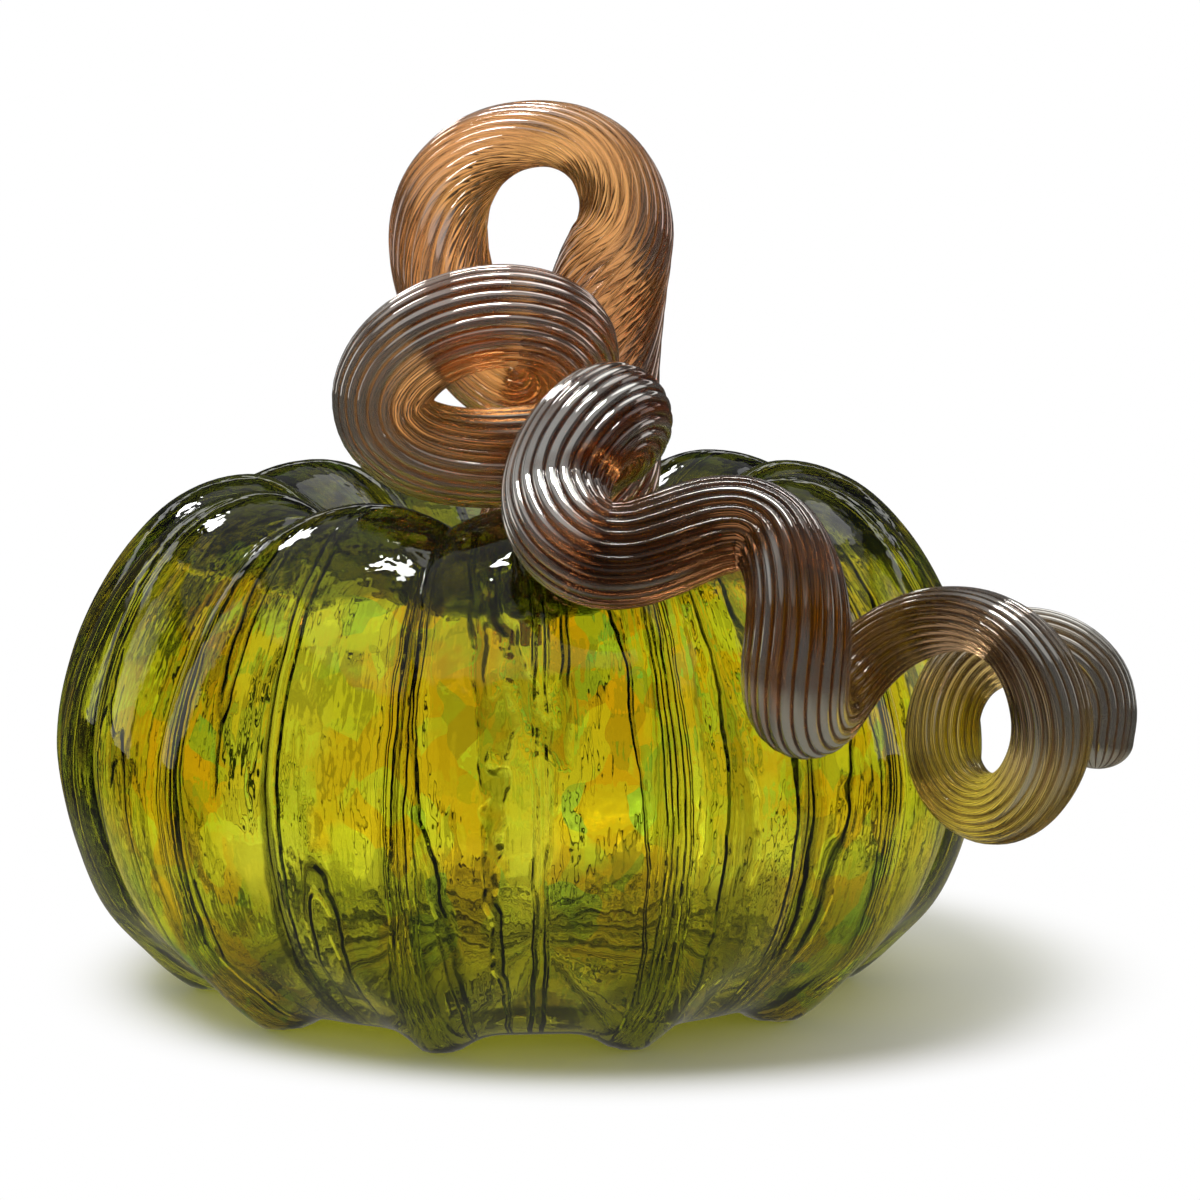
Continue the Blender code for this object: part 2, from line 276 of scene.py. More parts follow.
def white_paper():
    material, tree = new_material("white_paper")
    place = wire(tree, "ShaderNodeTexCoord").outputs["Object"]
    right, behind, _ = parts_of(tree, place)
    reach = vector(tree, "LENGTH", place)
    camera_ray, mirrored, by_glass = rays(tree)
    direct = most(tree, camera_ray, by_glass)
    paper = wire(tree, "ShaderNodeBsdfDiffuse", {"Color": (0.95, 0.95, 0.95, 1)})
    lift = wire(tree, "ShaderNodeEmission", {"Strength": product(tree, direct, 0.01)})
    near = wire(tree, "ShaderNodeAddShader", {0: paper.outputs[0], 1: lift.outputs[0]})
    beside = ease(tree, reckon(tree, "ABSOLUTE", right), 0.12, 0.30, 1.0, 0.03)
    before = ease(tree, behind, -0.22, -0.10, 0.03, 1.0)
    sheet = most(tree, product(tree, beside, before), camera_ray)
    white = wire(tree, "ShaderNodeEmission", {"Strength": sheet})
    oval = vector(tree, "DIVIDE", vector(tree, "SUBTRACT", place, SHADOW_MIDDLE), SHADOW_REACH)
    past_oval = product(tree, ease(tree, vector(tree, "LENGTH", oval), 0.84, 1.14), camera_ray)
    far = product(tree, ease(tree, reach, 0.105, 0.190), direct)
    seen = wire(tree, "ShaderNodeMixShader",
                {0: most(tree, far, past_oval), 1: near.outputs[0], 2: white.outputs[0]})
    cream = wire(tree, "ShaderNodeEmission", {"Color": (1.0, 0.97, 0.78, 1),
                                              "Strength": ease(tree, reach, 0.10, 0.20, 0.20, 0.035)})
    both = wire(tree, "ShaderNodeMixShader", {0: mirrored, 1: seen.outputs[0], 2: cream.outputs[0]})
    wire(tree, "ShaderNodeOutputMaterial", {"Surface": both.outputs[0]})
    return material


def lay_floor():
    mesh = bpy.data.meshes.new("floor")
    half = FLOOR_SIZE / 2
    mesh.from_pydata([(-half, -half, 0), (half, -half, 0), (half, half, 0), (-half, half, 0)],
                     [], [(0, 1, 2, 3)])
    mesh.materials.append(white_paper())
    floor = bpy.data.objects.new("floor", mesh)
    floor.location.z = -FLOOR_DROP
    scene.collection.objects.link(floor)
    print("floor:", FLOOR_SIZE, "m square,", len(mesh.materials[0].node_tree.nodes), "nodes")


lay_floor()

# %% [markdown]
# The body was blown in a mould with eleven ribs, and then puffed a little more. One line down the
# outside, from the neck to the middle of the underside, gives its shape. Beside its radius and
# height, each point says how deep the wall is drawn in between the feet, how deep it is creased
# above them, and how narrow a foot is there. The bubble could be turned and then pinched with a
# brush. A line with numbers is used because all eleven lobes then follow each change alike.

# %% Sizes of the body
AXIS = np.array([-0.00895, 0.00496, 0.0])
LOBES = 11
GROOVE_TURN = np.radians(3.65)
GROOVE_DEPTH = 0.0055
LEAN = 0.0018
WALL = 0.0032
NECK_RADIUS = 0.0070
CROWN_HEIGHT = 0.0640
PONTIL_HEIGHT = 0.0045
LOBE_LINE = [
    (0.0145, 0.0640, 0.00, 0.00, 1.0),
    (0.0205, 0.0666, 0.00, 0.15, 1.0),
    (0.0300, 0.0742, 0.00, 0.38, 1.0),
    (0.0430, 0.0820, 0.02, 0.66, 0.8),
    (0.0580, 0.0775, 0.08, 0.62, 0.8),
    (0.0705, 0.0615, 0.20, 0.44, 0.7),
    (0.0760, 0.0400, 0.40, 0.25, 0.7),
    (0.0704, 0.0175, 0.52, 0.08, 1.0),
    (0.0610, 0.0056, 0.60, 0.00, 4.5),
    (0.0528, -0.0008, 0.70, 0.00, 7.0),
    (0.0472, -0.0008, 0.60, 0.00, 6.0),
    (0.0410, 0.0022, 0.20, 0.00, 3.0),
    (0.0236, 0.0042, 0.00, 0.00, 1.0),
    (0.0000, PONTIL_HEIGHT, 0.00, 0.00, 1.0),
]
print("body:", LOBES, "lobes, wall", WALL * 1000, "mm")

# %% [markdown]
# Hot glass makes soft curves, and it is never quite even. So these helpers draw a smooth curve
# through chosen points, set points at even steps along it, lean the shoulder to one side, and
# give slow uneven waves for dents. The waves are sums of sines with a fixed seed, so they come
# out alike each time.

# %% Curves
def smooth_through(points, steps):
    """A smooth curve through the given points, with the same number of steps on each stretch."""
    points = np.asarray(points, float)
    ends = np.vstack([2 * points[0] - points[1], points, 2 * points[-1] - points[-2]])
    t = (np.arange(steps) / steps)[:, None]
    curve = []
    for i in range(len(points) - 1):
        a, b, c, d = ends[i:i + 4]
        curve.append(0.5 * (2 * b + (c - a) * t + (2 * a - 5 * b + 4 * c - d) * t ** 2
                            + (3 * b - a - 3 * c + d) * t ** 3))
    return np.vstack(curve + [points[-1:]])


def evenly(points, count, across=3):
    """The same line with its points the same distance apart."""
    steps = np.linalg.norm(np.diff(points[:, :across], axis=0), axis=1)
    walked = np.concatenate([[0], np.cumsum(steps)])
    marks = np.linspace(0, walked[-1], count)
    return np.stack([np.interp(marks, walked, column) for column in points.T], axis=1)


def softly(share):
    """A share from 0 to 1 that starts and ends gently."""
    share = np.clip(share, 0, 1)
    return share * share * (3 - 2 * share)


def lean_at(turn, radius, height):
    """How far the shoulder stands up towards +X, where the bubble slumped a little to one side."""
    side = ((1 + np.sin(turn)) / 2) ** 2
    return LEAN * side * softly((height - 0.040) / 0.035) * softly((radius - 0.018) / 0.020)


def facing(line):
    """The direction out of the glass along a radius and height line that runs down the outside."""
    tangent = np.gradient(line[:, :2], axis=0)
    tangent /= np.linalg.norm(tangent, axis=1, keepdims=True)
    return np.stack([-tangent[:, 1], tangent[:, 0]], axis=1)


def ripple(points, size, seed, waves=14):
    """Soft uneven waves of about the given size through space, from -1 to 1."""
    rng = np.random.default_rng(seed)
    ways = rng.normal(size=(waves, 3))
    ways /= np.linalg.norm(ways, axis=1, keepdims=True)
    pace = 2 * np.pi / size * rng.uniform(0.6, 1.5, waves)
    start = rng.uniform(0, 2 * np.pi, waves)
    total = np.sin((points @ (ways * pace[:, None]).T) + start).sum(axis=-1)
    return np.clip(total / np.sqrt(waves) / 1.6, -1, 1)


print("curve helpers ready")

# %% [markdown]
# Each skin of the bubble is a grid of rows and columns, worked out from the line. Round a row, the
# cut follows a sine or a cosine without its sign, raised to a power, which makes a lobe full and
# its groove sharp. The inner skin is softer, and above each foot it has a thicker rib of glass. So
# the wall is a weak lens that bends what is seen through it, as in the real piece. Columns stand
# closer together at the grooves, where the shape turns fast.

# %% Work out the skins of the body
COLUMNS_A_LOBE = 26
OUTER_ROWS, INNER_ROWS = 120, 90
RIB_WIDTH = 0.16
RIB_THICK = 0.0012


def column_turns():
    """The angle of each column round the body."""
    places = list(np.arange(0, 1, 1 / COLUMNS_A_LOBE))
    for middle in (0.0, 0.5):
        places += [middle + side * step for side in (-1, 1) for step in (0.008, 0.016, 0.026)]
    places = np.sort(np.unique(np.round(np.array(places) % 1, 4)))
    lobes = np.arange(LOBES)[:, None] + places[None]
    return GROOVE_TURN + 2 * np.pi * lobes.ravel() / LOBES


def skin(rows, low, high, power, inset, thick=0.0):
    """Rows of points round one skin: its share of the low and high cuts, and how far in it lies."""
    line = evenly(smooth_through(LOBE_LINE, 40), rows, across=2)
    out = facing(line)
    turn = column_turns()
    wave = LOBES * (turn - GROOVE_TURN) / 2
    between_feet = 1 - np.abs(np.sin(wave))[None] ** line[:-1, 4:5]
    above_feet = 1 - np.abs(np.cos(wave))[None] ** power
    rib = np.exp(-(np.cos(wave)[None] / RIB_WIDTH) ** 2)
    cut = low * line[:-1, 2:3] * between_feet + high * line[:-1, 3:4] * above_feet
    cut = inset + GROOVE_DEPTH * cut + thick * rib * np.clip(line[:-1, 0:1] / 0.05, 0, 1)
    place = line[:-1, None, :2] - cut[..., None] * out[:-1, None]
    radius, height = place[..., 0], place[..., 1]
    height = height + lean_at(turn, radius, height)
    return np.stack([radius * np.sin(turn), -radius * np.cos(turn), height], axis=-1)


def skin_normals(grid):
    """The direction out of the glass at every point of a skin."""
    down = np.gradient(grid, axis=0)
    around = np.roll(grid, -1, axis=1) - np.roll(grid, 1, axis=1)
    normal = np.cross(down, around)
    return normal / np.maximum(np.linalg.norm(normal, axis=-1, keepdims=True), 1e-12)


def outer_skin():
    grid = skin(OUTER_ROWS, 1.0, 1.0, 0.8, 0.0)
    dents = 0.00007 * (1 + ripple(grid, 0.018, 3)) + 0.00003 * (1 + ripple(grid * (1, 1, 0.6), 0.008, 4))
    grid = grid - dents[..., None] * skin_normals(grid)
    grid[..., 2] = np.maximum(grid[..., 2], 0.0)
    return grid


def inner_skin():
    grid = skin(INNER_ROWS, 0.55, 0.6, 1.3, WALL, RIB_THICK)
    dents = 0.00016 * ripple(grid * (1, 1, 0.3), 0.012, 5)
    return grid - dents[..., None] * skin_normals(grid)


print("columns round the body:", len(column_turns()))

# %% [markdown]
# The two skins become one closed wall: a ring round the neck joins them at the top, and each ends
# in a point in the middle of the underside. Glass has to be closed like that, because a ray must
# know when it goes in and when it comes out. A solidify modifier could thicken a single skin, but
# then both sides would have the same folds.

# %% Blow the body
def band(upper, lower, columns):
    """Quads between two rows of vertex numbers, facing away from the axis going down."""
    i = np.arange(columns)
    j = (i + 1) % columns
    return np.stack([upper + i, lower + i, lower + j, upper + j], axis=1)


def neck_ring(grid, height):
    """One more row, drawn in to the neck."""
    row = grid[0] * (NECK_RADIUS / np.linalg.norm(grid[0, :, :2], axis=1).mean())
    row[:, 2] = height
    return row[None]


def make_piece(name, points, faces):
    """A smooth mesh object; its points are given from the body's axis."""
    mesh = bpy.data.meshes.new(name)
    mesh.from_pydata((points + AXIS).tolist(), [], [list(map(int, face)) for face in faces])
    mesh.shade_smooth()
    piece = bpy.data.objects.new(name, mesh)
    scene.collection.objects.link(piece)
    print(name, len(mesh.vertices), "points", len(mesh.polygons), "faces")
    return piece


def write_on_points(piece, name, values, kind="FLOAT"):
    """A value for each point of a piece, which its shader can read by name."""
    mark = piece.data.attributes.new(name, kind, "POINT")
    mark.data.foreach_set("value" if kind == "FLOAT" else "vector", values.astype(np.float32).ravel())


def blow_body():
    outer, inner = outer_skin(), inner_skin()
    columns = outer.shape[1]
    outer = np.concatenate([neck_ring(outer, CROWN_HEIGHT), outer])
    inner = np.concatenate([neck_ring(inner, CROWN_HEIGHT - WALL), inner])
    points = np.concatenate([outer.reshape(-1, 3), inner.reshape(-1, 3),
                             [[0, 0, PONTIL_HEIGHT], [0, 0, PONTIL_HEIGHT + WALL]]])
    first = len(outer) * columns
    faces = [band(r * columns, (r + 1) * columns, columns) for r in range(len(outer) - 1)]
    faces += [band(first + (r + 1) * columns, first + r * columns, columns)
              for r in range(len(inner) - 1)]
    faces.append(band(first, 0, columns))
    faces = np.concatenate(faces).tolist()
    outer_last = (len(outer) - 1) * columns
    inner_last = first + (len(inner) - 1) * columns
    for i in range(columns):
        j = (i + 1) % columns
        faces.append([outer_last + i, len(points) - 2, outer_last + j])
        faces.append([inner_last + j, len(points) - 1, inner_last + i])
    body = make_piece("body", points, faces)
    outside = (np.arange(len(points)) < first).astype(float)
    outside[-2] = 1.0
    write_on_points(body, "outside", outside)
    return body


body = blow_body()

# %% [markdown]
# The body's pattern is laid out by where a point lies: how high, how far from the axis, and at
# what angle round it. The real chips and lines differ from lobe to lobe, so some levels are given
# in degrees round the body, where 0 faces the camera and the right side is positive. Painting on
# an unwrapped skin would be the other way, but the grooves would stretch the paint.

# %% Find a place on the body
def blend(tree, share, first, second):
    """Two colours mixed: the second takes the given share."""
    node = wire(tree, "ShaderNodeMix", data_type="RGBA")
    for socket, value in ((0, share), (6, first), (7, second)):
        if isinstance(value, bpy.types.NodeSocket):
            tree.links.new(value, node.inputs[socket])
        else:
            node.inputs[socket].default_value = value if socket == 0 else (*value, 1)
    return node.outputs[2]


def noise(tree, where, scale, detail, roughness=0.5):
    return wire(tree, "ShaderNodeTexNoise",
                {"Vector": where, "Scale": scale, "Detail": detail, "Roughness": roughness})


def channels(tree, colour):
    """The red, green and blue of a colour."""
    return wire(tree, "ShaderNodeSeparateColor", {0: colour}).outputs


def round_ramp(tree, angle, places):
    """A level that changes round the body, from places given in degrees."""
    ramp = wire(tree, "ShaderNodeValToRGB", {0: reckon(tree, "MULTIPLY_ADD", angle, 0.5 / np.pi, 0.5)})
    stops = ramp.color_ramp.elements
    stops[0].position = 0.0
    stops[1].position = 1.0
    for degrees, level in places[1:]:
        stops.new((degrees + 180) / 360).color = (level, level, level, 1)
    level = places[0][1]
    stops[0].color = stops[len(stops) - 1].color = (level, level, level, 1)
    return channels(tree, ramp.outputs[0])[0]


def place_on_body(tree):
    """Everything that the pattern needs to know of a point, gathered under plain names."""
    here = wire(tree, "ShaderNodeTexCoord").outputs["Object"]
    flat = vector(tree, "MULTIPLY", vector(tree, "SUBTRACT", here, tuple(AXIS)), (1, 1, 0))
    away = vector(tree, "NORMALIZE", flat)
    right, behind, _ = parts_of(tree, away)
    angle = reckon(tree, "ARCTAN2", right, product(tree, behind, -1.0))
    drift = noise(tree, here, 130.0, 1.5)
    push = vector(tree, "SUBTRACT", drift.outputs["Color"], (0.5, 0.5, 0.5))
    a_radian = LOBES / (2 * np.pi)
    lobe = reckon(tree, "MULTIPLY_ADD", angle, a_radian, 5 - float(GROOVE_TURN) * a_radian)
    lobe = reckon(tree, "MULTIPLY_ADD", reckon(tree, "SUBTRACT", drift.outputs[0], 0.5), 0.035, lobe)
    return SimpleNamespace(
        here=here, away=away, right=right, angle=angle, drift=drift.outputs[0],
        height=parts_of(tree, here)["Z"],
        reach=vector(tree, "LENGTH", flat),
        push=vector(tree, "SCALE", push, 0.006),
        dents=noise(tree, here, 210.0, 2.0),
        over_lobe=reckon(tree, "FRACT", reckon(tree, "ADD", lobe, 0.25)))


print("pattern helpers ready")

# %% [markdown]
# Chips of amber, lime and olive glass were rolled onto the hot bubble before it was blown out.
# They lie thickly on some lobes and hardly on others. A cell pattern, pushed about by noise, gives
# chips with ragged sides, and a slower noise gathers the amber ones into patches. A painted
# picture could do it too, but a pattern in space has no seam and stays sharp from near by. The
# crown and its dimple are painted dark green, with a ragged lower edge. This is painted shade,
# for the dark that the crown shows where one looks down through many layers of glass.

# %% Chips and the painted shade on the crown
BARE_GLASS, LAID_GLASS = (0.97, 0.94, 0.14), (0.81, 0.79, 0.034)
AMBER, LIME, OLIVE = (0.96, 0.48, 0.003), (0.23, 0.64, 0.11), (0.24, 0.26, 0.012)
PAINTED_SHADE_GREEN = (0.040, 0.052, 0.008)
CROWN_SHADE_EDGE = 0.0638
CHIPS_LAID = (
    (-180, 0.9), (-150, 0.3), (-120, 0.9), (-84, 0.5), (-72, 0.9), (-64, 0.25), (-54, 0.3),
    (-46, 1.0), (-32, 1.0), (-29, 0.1), (-20, 0.1), (-17, 0.9), (1, 1.0), (3, 0.15), (7, 0.15),
    (9, 1.0), (20, 0.9), (23, 0.3), (34, 0.3), (38, 1.0), (52, 0.9), (60, 0.3), (90, 0.8),
    (125, 0.3), (150, 1.0),
)
CHIPS_LOW = (
    (-180, 0.5), (-90, 0.5), (-60, 0.9), (-34, 0.9), (-26, 0.1), (34, 0.1), (42, 0.9), (70, 0.9),
    (100, 0.5),
)


def colour_chips(tree, spot):
    """The colour of the wall with its chips, and the slow noise that gathers them."""
    there = vector(tree, "ADD", spot.here, spot.push)
    there = wire(tree, "ShaderNodeMapping", {0: there, 3: (1, 1, 0.62)}).outputs[0]
    cells = wire(tree, "ShaderNodeTexVoronoi", {"Vector": there, "Scale": 215.0})
    first, second, third = channels(tree, cells.outputs["Color"])
    patch = noise(tree, there, 46.0, 4.0, 0.6).outputs[0]
    mood = reckon(tree, "ADD", product(tree, first, 0.40), patch)
    laid = round_ramp(tree, reckon(tree, "MULTIPLY_ADD", spot.drift, 0.12, spot.angle), CHIPS_LAID)
    low = round_ramp(tree, spot.angle, CHIPS_LOW)
    laid = product(tree, mix(tree, ease(tree, spot.height, 0.008, 0.034), low, 1.0), laid)
    colour = blend(tree, laid, BARE_GLASS, LAID_GLASS)
    for share, level, chip in ((ease(tree, mood, 0.60, 0.66), 1.0, AMBER),
                               (ease(tree, second, 0.84, 0.88), 0.85, LIME),
                               (ease(tree, third, 0.70, 0.80), 0.60, OLIVE)):
        colour = blend(tree, product(tree, share, laid, level), colour, chip)
    return colour, patch


def crown_shade_share(tree, spot, patch):
    """1 where shade is painted on the crown and in its dimple, and 0 below its edge, which hangs lower in
    front.
    """
    edge = reckon(tree, "MULTIPLY_ADD", product(tree, spot.right, spot.right), 0.005, CROWN_SHADE_EDGE)
    edge = reckon(tree, "MULTIPLY_ADD", patch, 0.010, edge)
    top = ease(tree, reckon(tree, "SUBTRACT", spot.height, edge), 0.0, 0.0016)
    dimple = product(tree, ease(tree, spot.height, 0.050, 0.062), ease(tree, spot.reach, 0.056, 0.044))
    return most(tree, top, dimple)


print("chip levels:", len(CHIPS_LAID), "round the body and", len(CHIPS_LOW), "low on it")

# %% [markdown]
# Down the wall run long lines, folds where the mould's ribs pressed, and here and there a
# seed bubble. They are marks of the inner skin, and are drawn and dented there, so they slide
# behind the chips when the view changes. Their dark colour is painted shade, for the dark that
# refraction shows along them. The outer skin has creases beside some lobes, which widen towards
# the feet, and their dark green is painted shade as well. The lines and folds are also fine
# relief: as bumps it costs next to nothing, where a mesh would need millions of points.

# %% Lines, folds and creases
# The second colour is painted shade for the inner skin's lines, folds and seed bubbles.
CLEAR_SKIN, LINE_SHADE_SKIN = (0.97, 0.97, 0.90), (0.10, 0.11, 0.02)
FOLDS = ((0.222, 1.0, 0.012), (0.278, 1.0, 0.012), (0.690, 0.7, 0.007), (0.716, 0.8, 0.007),
         (0.740, 1.0, 0.007), (0.765, 0.9, 0.007), (0.795, 0.7, 0.007))
FOLD_DEPTH = (
    (-180, 0.5), (-140, 0.9), (-100, 0.5), (-72, 0.5), (-61.8, 0.8), (-50, 0.5), (-38, 0.5),
    (-33, 1.0), (-25, 1.0), (-20, 0.5), (-3, 0.5), (3.65, 0.25), (12, 0.5), (28, 0.5), (32, 1.0),
    (40, 1.0), (45, 0.5), (80, 0.5), (100, 0.9), (150, 0.4),
)
# Levels of painted shade in the outer creases, round the body.
CREASE_SHADE_LEVELS = (
    (-180, 0.0), (-70, 0.3), (-50, 0.4), (-34, 1.0), (-24, 1.0), (-10, 0.0), (20, 0.0), (30, 0.8),
    (42, 0.8), (60, 0.3), (90, 0.0),
)
CREASE_PLACE = 0.25


def fold_profile(tree, over_lobe):
    """Across one lobe, 1 on smooth wall and down to 0 in the folds: a pair, and then a bundle."""
    ramp = wire(tree, "ShaderNodeValToRGB", {0: over_lobe})
    stops = ramp.color_ramp.elements
    stops[0].position = 0.0
    stops[1].position = 1.0
    stops[0].color = stops[1].color = (1, 1, 1, 1)
    for middle, depth, wide in FOLDS:
        for place, level in ((middle - wide, 1.0), (middle, 1.0 - depth), (middle + wide, 1.0)):
            stops.new(place).color = (level, level, level, 1)
    return channels(tree, ramp.outputs[0])[0]


def long_lines(tree, spot):
    """0 in the long lines and 1 beside them, and the fine grain that runs along with them."""
    ring = vector(tree, "SCALE", spot.away, 0.075)
    tall = wire(tree, "ShaderNodeCombineXYZ", {2: product(tree, spot.height, 0.10)}).outputs[0]
    wobble = vector(tree, "SCALE", spot.push, 0.25)
    drawn = vector(tree, "ADD", vector(tree, "ADD", ring, tall), wobble)
    jag = vector(tree, "SCALE", spot.dents.outputs["Color"], 0.0005)
    strands = noise(tree, vector(tree, "ADD", drawn, jag), 85.0, 0.8).outputs[0]
    from_middle = reckon(tree, "ABSOLUTE", reckon(tree, "SUBTRACT", strands, 0.5))
    return ease(tree, from_middle, 0.005, 0.024), noise(tree, drawn, 420.0, 2.0).outputs[0]


def seed_bubbles(tree, spot):
    """1 in a few tiny round bubbles."""
    cells = wire(tree, "ShaderNodeTexVoronoi", {"Vector": spot.here, "Scale": 230.0})
    lucky = channels(tree, cells.outputs["Color"])[0]
    return product(tree, ease(tree, cells.outputs["Distance"], 0.06, 0.09, 1.0, 0.0),
                   ease(tree, lucky, 0.90, 0.91))


def painted_crease_shade(tree, spot):
    """The share of painted shade, dark green, in the creases of the outer skin, wider towards the feet.
    """
    beside = reckon(tree, "ABSOLUTE", reckon(tree, "SUBTRACT", spot.over_lobe, CREASE_PLACE))
    wide = ease(tree, spot.height, 0.060, 0.012, 0.008, 0.045)
    dark = ease(tree, reckon(tree, "SUBTRACT", beside, wide), -0.007, 0.007, 0.9, 0.0)
    return product(tree, dark, round_ramp(tree, spot.angle, CREASE_SHADE_LEVELS))


print("folds on a lobe:", len(FOLDS))

# %% [markdown]
# Now the body's glass is mixed. Its colour tints light each time that it crosses a skin, and an
# absorbing volume darkens the rims, where light runs a long way inside the wall. Coloured glass
# also throws a coloured shadow. Following every ray through the glass to a lamp would take very
# long and stay noisy, so a ray that looks for light meets a plain see-through tint instead.

# %% Mix the body's glass
BODY_SHADOW = (0.73, 0.715, 0.06)
BODY_DEPTH, BODY_DENSITY = (0.80, 0.83, 0.30), 380.0


def finish_glass(tree, glass, shadow, depth, density):
    """The glass with its tinted shadow and the colour of its depth."""
    path = wire(tree, "ShaderNodeLightPath").outputs
    shade = most(tree, path["Is Shadow Ray"], path["Is Diffuse Ray"])
    tint = wire(tree, "ShaderNodeBsdfTransparent", {"Color": (*shadow, 1)})
    both = wire(tree, "ShaderNodeMixShader", {0: shade, 1: glass.outputs[0], 2: tint.outputs[0]})
    inside = wire(tree, "ShaderNodeVolumeAbsorption", {"Color": (*depth, 1), "Density": density})
    wire(tree, "ShaderNodeOutputMaterial", {"Surface": both.outputs[0], "Volume": inside.outputs[0]})


def body_glass():
    material, tree = new_material("body_glass")
    spot = place_on_body(tree)
    outside = wire(tree, "ShaderNodeAttribute", attribute_name="outside").outputs["Fac"]
    colour, patch = colour_chips(tree, spot)
    crown = crown_shade_share(tree, spot, patch)
    # painted shade: the crown and its dimple are darkened to a deep green
    colour = blend(tree, product(tree, crown, 0.93), colour, PAINTED_SHADE_GREEN)
    # painted shade: dark green in the outer creases
    colour = blend(tree, painted_crease_shade(tree, spot), colour, PAINTED_SHADE_GREEN)
    line, grain = long_lines(tree, spot)
    folds = reckon(tree, "SUBTRACT", fold_profile(tree, spot.over_lobe), 1.0)
    folds = product(tree, folds, round_ramp(tree, spot.angle, FOLD_DEPTH))
    # painted shade: the lines, folds and seed bubbles darken the inner skin
    dark = product(tree, reckon(tree, "SUBTRACT", 1.0, line), 0.65)
    dark = most(tree, dark, product(tree, folds, -1.0), seed_bubbles(tree, spot))
    colour = blend(tree, outside, blend(tree, dark, CLEAR_SKIN, LINE_SHADE_SKIN), colour)
    relief = reckon(tree, "MULTIPLY_ADD", line, 0.0005, product(tree, grain, 0.00008))
    relief = reckon(tree, "MULTIPLY_ADD", folds, 0.0011, relief)
    pits = ease(tree, spot.height, 0.010, 0.040, 0.00005, 0.00012)
    pits = product(tree, spot.dents.outputs[0], reckon(tree, "MULTIPLY_ADD", crown, 0.00020, pits))
    bump = wire(tree, "ShaderNodeBump",
                {"Strength": 1.0, "Distance": 1.0, "Height": blend(tree, outside, relief, pits)})
    glass = wire(tree, "ShaderNodeBsdfPrincipled",
                 {"Base Color": colour, "Roughness": 0.0, "IOR": 1.5, "Transmission Weight": 1.0,
                  "Normal": bump.outputs[0]})
    finish_glass(tree, glass, BODY_SHADOW, BODY_DEPTH, BODY_DENSITY)
    print("body glass:", len(tree.nodes), "nodes")
    return material


body.data.materials.append(body_glass())
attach(body, "root")
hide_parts("body_shell")

# %% [markdown]
# The stem is one rod of hot glass. It stands on the crown, makes a tall loop, a second coil and a
# fold, drops down in front of the body and ends in a small curl. Its middle line is a list of
# chosen points, since no rule gives the way that hot glass falls: each says a place from the top
# of the crown, in millimetres, and the rod's radius there. A curve object with a bevel could draw
# such a rod, but it couldn't carry the ribs and the marks that the lustre needs.

# %% The stem's route
STEM_ROUTE = [
    (2.0, 1.0, 0.0, 11.4),
    (3.4, 1.6, 3.1, 12.2),
    (5.6, 2.4, 7.2, 12.9),
    (7.8, 3.3, 12.2, 13.6),
    (9.3, 4.2, 18.3, 13.7),
    (10.3, 5.0, 26.1, 12.6),
    (11.8, 5.5, 34.5, 10.8),
    (13.4, 5.5, 43.4, 9.9),
    (15.2, 5.0, 52.0, 9.1),
    (17.6, 4.0, 59.2, 7.6),
    (13.2, 2.0, 69.6, 6.0),
    (4.1, 0.0, 73.1, 5.1),
    (-5.9, -2.0, 70.5, 6.1),
    (-12.0, -5.0, 63.0, 7.5),
    (-12.7, -9.0, 54.6, 7.9),
    (-10.1, -12.5, 45.4, 7.8),
    (-5.0, -14.5, 37.3, 7.7),
    (0.7, -16.0, 33.5, 7.6),
    (6.1, -19.0, 34.1, 7.5),
    (8.8, -25.5, 39.2, 7.5),
    (5.8, -32.0, 44.4, 7.6),
    (-2.2, -35.0, 46.1, 7.8),
    (-12.2, -36.0, 43.5, 7.8),
    (-19.6, -36.0, 37.1, 7.7),
    (-20.6, -35.5, 30.1, 7.4),
    (-15.7, -35.0, 25.9, 7.4),
    (-7.6, -34.5, 24.1, 7.5),
    (1.5, -34.5, 24.4, 7.6),
    (10.2, -36.0, 25.6, 7.8),
    (15.6, -41.5, 28.8, 7.8),
    (15.9, -49.0, 32.4, 7.8),
    (12.5, -55.0, 32.2, 7.8),
    (8.4, -58.5, 27.9, 7.9),
    (6.1, -61.5, 21.7, 7.9),
    (7.2, -66.0, 16.1, 7.9),
    (11.8, -69.0, 13.0, 7.8),
    (19.5, -69.0, 14.1, 7.6),
    (27.6, -67.0, 17.4, 7.3),
    (34.8, -66.5, 18.5, 6.7),
    (39.0, -69.5, 15.6, 6.6),
    (41.0, -75.0, 9.2, 7.1),
    (41.0, -77.5, 1.5, 7.8),
    (40.4, -76.5, -5.5, 7.7),
    (43.5, -70.0, -9.4, 6.9),
    (49.1, -62.5, -5.1, 5.5),
    (54.4, -61.5, 0.1, 5.1),
    (60.8, -64.5, 3.6, 4.9),
    (67.5, -69.5, 4.5, 4.5),
    (72.8, -74.0, 1.8, 5.0),
    (77.3, -76.0, -6.2, 5.9),
    (77.0, -74.0, -16.0, 5.6),
    (71.6, -68.0, -24.2, 5.2),
    (65.1, -61.5, -22.6, 5.1),
    (63.2, -57.0, -16.3, 5.5),
    (64.3, -54.0, -9.5, 5.2),
    (68.7, -52.0, -3.6, 5.4),
    (75.5, -51.0, -1.8, 5.8),
    (82.6, -51.0, -3.8, 6.0),
    (87.4, -52.0, -9.3, 6.0),
    (86.9, -53.0, -16.1, 5.4),
]
MM = 0.001
GAP = 0.0003
PLUG_RADIUS = NECK_RADIUS - GAP
PLUG_DEPTH = 0.0080
FLUTES = 24
FLUTE_DEPTH = 0.045
REST_GAP = 0.0004
print("stem route:", len(STEM_ROUTE), "points")

